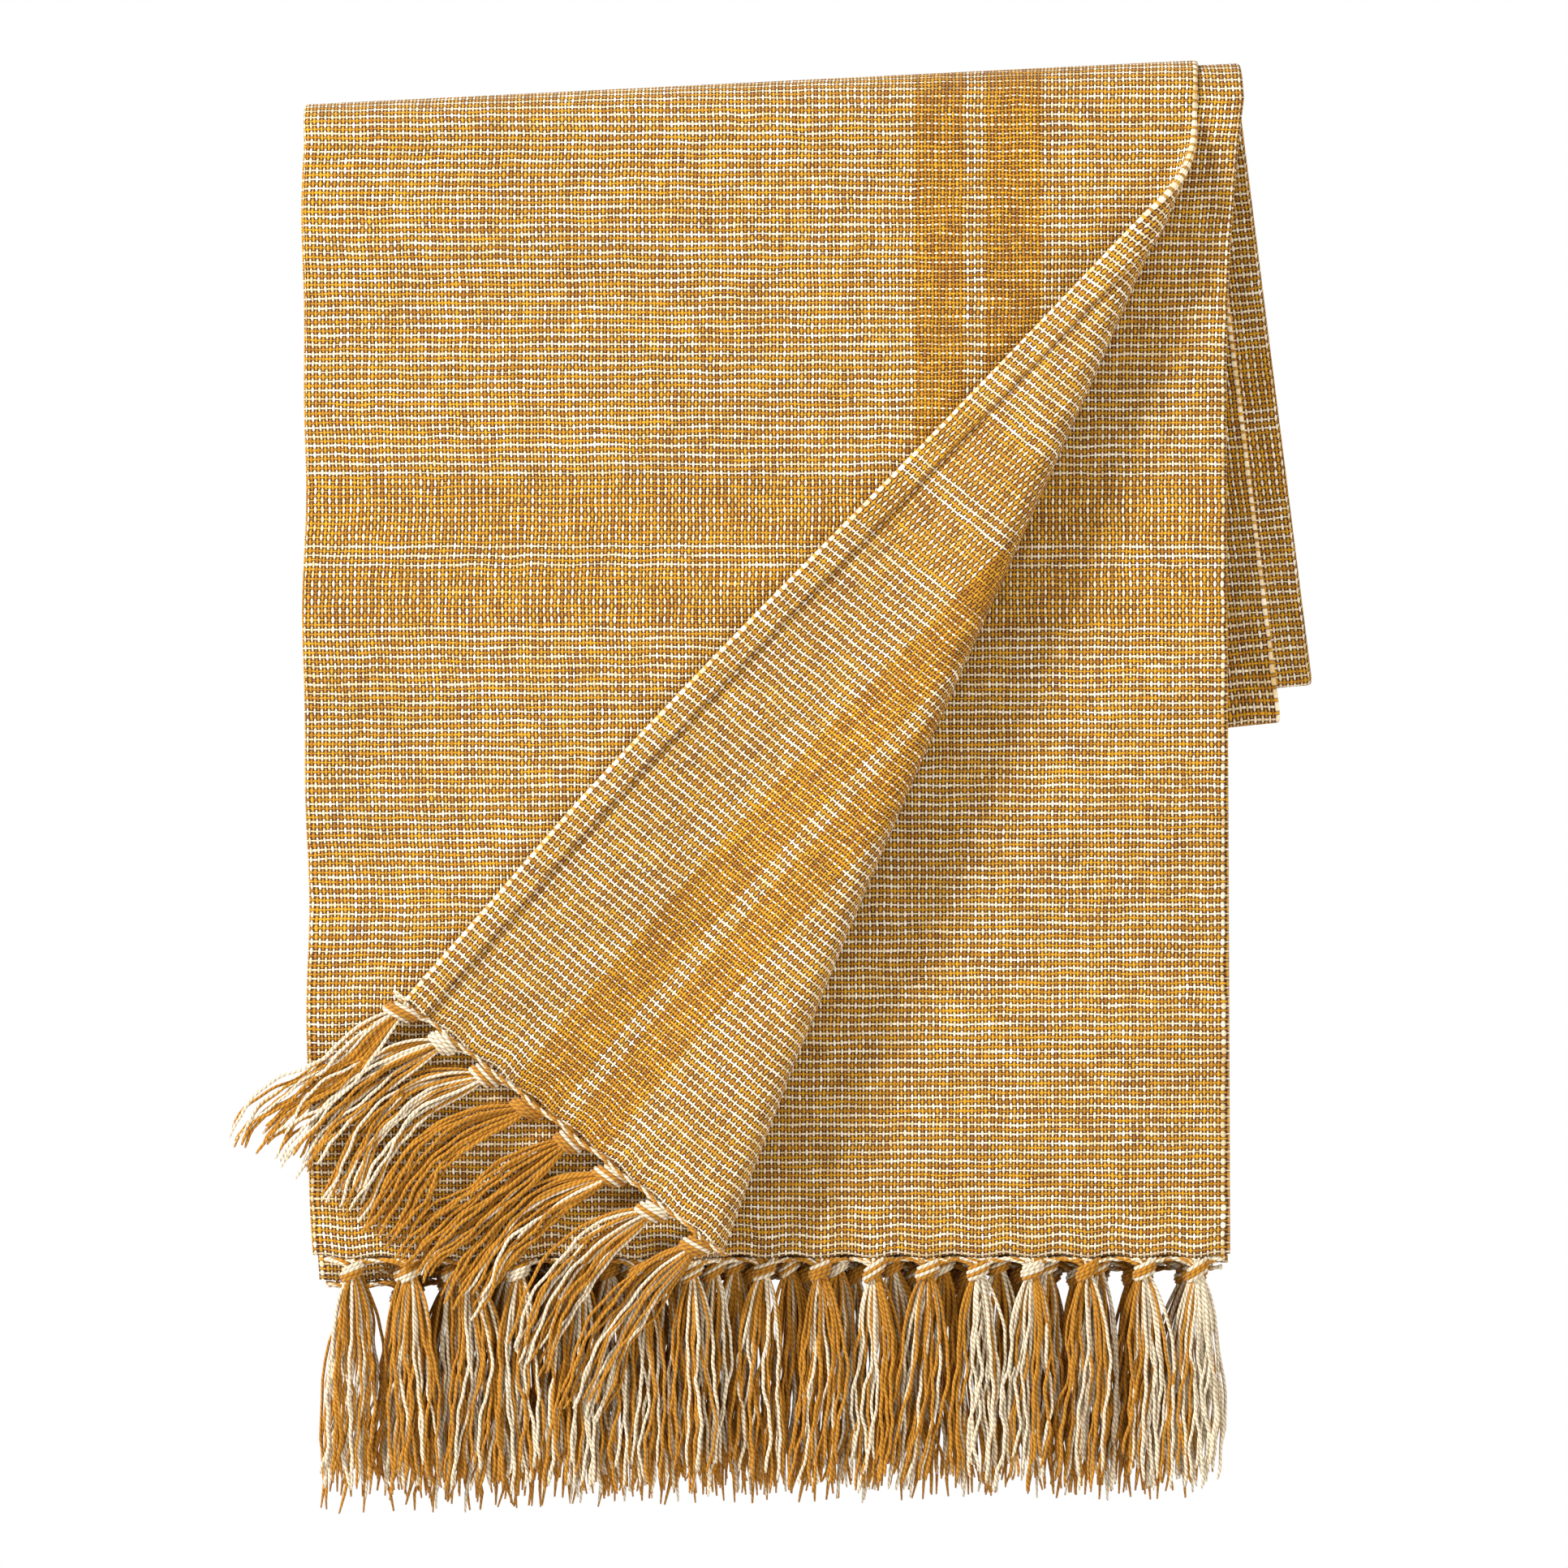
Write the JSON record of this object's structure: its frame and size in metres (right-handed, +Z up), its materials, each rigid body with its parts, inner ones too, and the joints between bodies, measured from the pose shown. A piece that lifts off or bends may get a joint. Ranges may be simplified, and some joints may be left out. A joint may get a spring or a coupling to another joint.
{
  "type": "folded throw blanket",
  "caption": "Woven cotton throw with knotted fringe, folded in thirds, folded across and hung over a rail, with one front corner turned back.",
  "frame": {"origin": "centre of the rail that the throw hangs over, midway between its two side folds", "axes": "+X to the viewer's right along the rail, -Y to the front that shows the turned corner, +Z up"},
  "size_m": [0.504, 0.0572, 0.6661],
  "materials": {
    "woven_cloth": "mustard and cream slub plain weave, matt",
    "turned_hem": "the same cloth turned over and stitched, matt",
    "fringe_yarn": "two-ply cotton yarn, mustard and cream, matt"
  },
  "bodies": {
    "cloth": {"front_third": "woven_cloth", "front_hem": "turned_hem", "middle_third": "woven_cloth", "back_third": "woven_cloth", "back_hem": "turned_hem"},
    "turned_corner": {"corner_flap": "woven_cloth", "flap_hem": "turned_hem", "flap_tassel_01": "fringe_yarn", "flap_tassel_02": "fringe_yarn", "flap_tassel_03": "fringe_yarn", "flap_tassel_04": "fringe_yarn", "flap_tassel_05": "fringe_yarn", "flap_tassel_06": "fringe_yarn", "flap_tassel_07": "fringe_yarn", "flap_tassel_08": "fringe_yarn"},
    "front_fringe": {"front_tassel_01": "fringe_yarn", "front_tassel_02": "fringe_yarn", "front_tassel_03": "fringe_yarn", "front_tassel_04": "fringe_yarn", "front_tassel_05": "fringe_yarn", "front_tassel_06": "fringe_yarn", "front_tassel_07": "fringe_yarn"},
    "middle_fringe": {"middle_tassel_01": "fringe_yarn", "middle_tassel_02": "fringe_yarn", "middle_tassel_03": "fringe_yarn", "middle_tassel_04": "fringe_yarn", "middle_tassel_05": "fringe_yarn", "middle_tassel_06": "fringe_yarn", "middle_tassel_07": "fringe_yarn", "middle_tassel_08": "fringe_yarn", "middle_tassel_09": "fringe_yarn", "middle_tassel_10": "fringe_yarn", "middle_tassel_11": "fringe_yarn", "middle_tassel_12": "fringe_yarn", "middle_tassel_13": "fringe_yarn", "middle_tassel_14": "fringe_yarn", "middle_tassel_15": "fringe_yarn", "middle_tassel_16": "fringe_yarn", "middle_tassel_17": "fringe_yarn"},
    "back_fringe": {"back_tassel_01": "fringe_yarn", "back_tassel_02": "fringe_yarn", "back_tassel_03": "fringe_yarn", "back_tassel_04": "fringe_yarn", "back_tassel_05": "fringe_yarn", "back_tassel_06": "fringe_yarn", "back_tassel_07": "fringe_yarn", "back_tassel_08": "fringe_yarn", "back_tassel_09": "fringe_yarn", "back_tassel_10": "fringe_yarn", "back_tassel_11": "fringe_yarn", "back_tassel_12": "fringe_yarn", "back_tassel_13": "fringe_yarn", "back_tassel_14": "fringe_yarn", "back_tassel_15": "fringe_yarn", "back_tassel_16": "fringe_yarn"},
    "rear_back_fringe_row": {"rear_back_fringe": "fringe_yarn"},
    "rear_middle_fringe_row": {"rear_middle_fringe": "fringe_yarn"},
    "rear_front_fringe_row": {"rear_front_fringe": "fringe_yarn"}
  },
  "joints": [
    {"name": "flap_fold", "type": "hinge", "parent": "cloth", "child": "turned_corner", "pos_m": [-0.0219, -0.02619, -0.5305], "axis": [0.3934, 0.0087, 0.9193], "range_deg": [0, 155]},
    {"name": "front_fringe_swing", "type": "hinge", "parent": "cloth", "child": "front_fringe", "pos_m": [0, -0.024, -0.531], "axis": [1, 0, 0], "range_deg": [0, 20]},
    {"name": "middle_fringe_swing", "type": "hinge", "parent": "cloth", "child": "middle_fringe", "pos_m": [0, -0.0164, -0.531], "axis": [1, 0, 0], "range_deg": [0, 20]},
    {"name": "back_fringe_swing", "type": "hinge", "parent": "cloth", "child": "back_fringe", "pos_m": [0, -0.0088, -0.531], "axis": [1, 0, 0], "range_deg": [0, 20]},
    {"name": "rear_back_fringe_swing", "type": "hinge", "parent": "cloth", "child": "rear_back_fringe_row", "pos_m": [0, -0.0012, -0.531], "axis": [1, 0, 0], "range_deg": [0, 20]},
    {"name": "rear_middle_fringe_swing", "type": "hinge", "parent": "cloth", "child": "rear_middle_fringe_row", "pos_m": [0, 0.0064, -0.531], "axis": [1, 0, 0], "range_deg": [0, 20]},
    {"name": "rear_front_fringe_swing", "type": "hinge", "parent": "cloth", "child": "rear_front_fringe_row", "pos_m": [0, 0.014, -0.531], "axis": [1, 0, 0], "range_deg": [0, 20]}
  ],
  "couplings": [
    {"joint": "front_fringe_swing", "follows": "middle_fringe_swing", "ratio": 1},
    {"joint": "back_fringe_swing", "follows": "middle_fringe_swing", "ratio": 1},
    {"joint": "rear_back_fringe_swing", "follows": "middle_fringe_swing", "ratio": 1},
    {"joint": "rear_middle_fringe_swing", "follows": "middle_fringe_swing", "ratio": 1},
    {"joint": "rear_front_fringe_swing", "follows": "middle_fringe_swing", "ratio": 1}
  ]
}
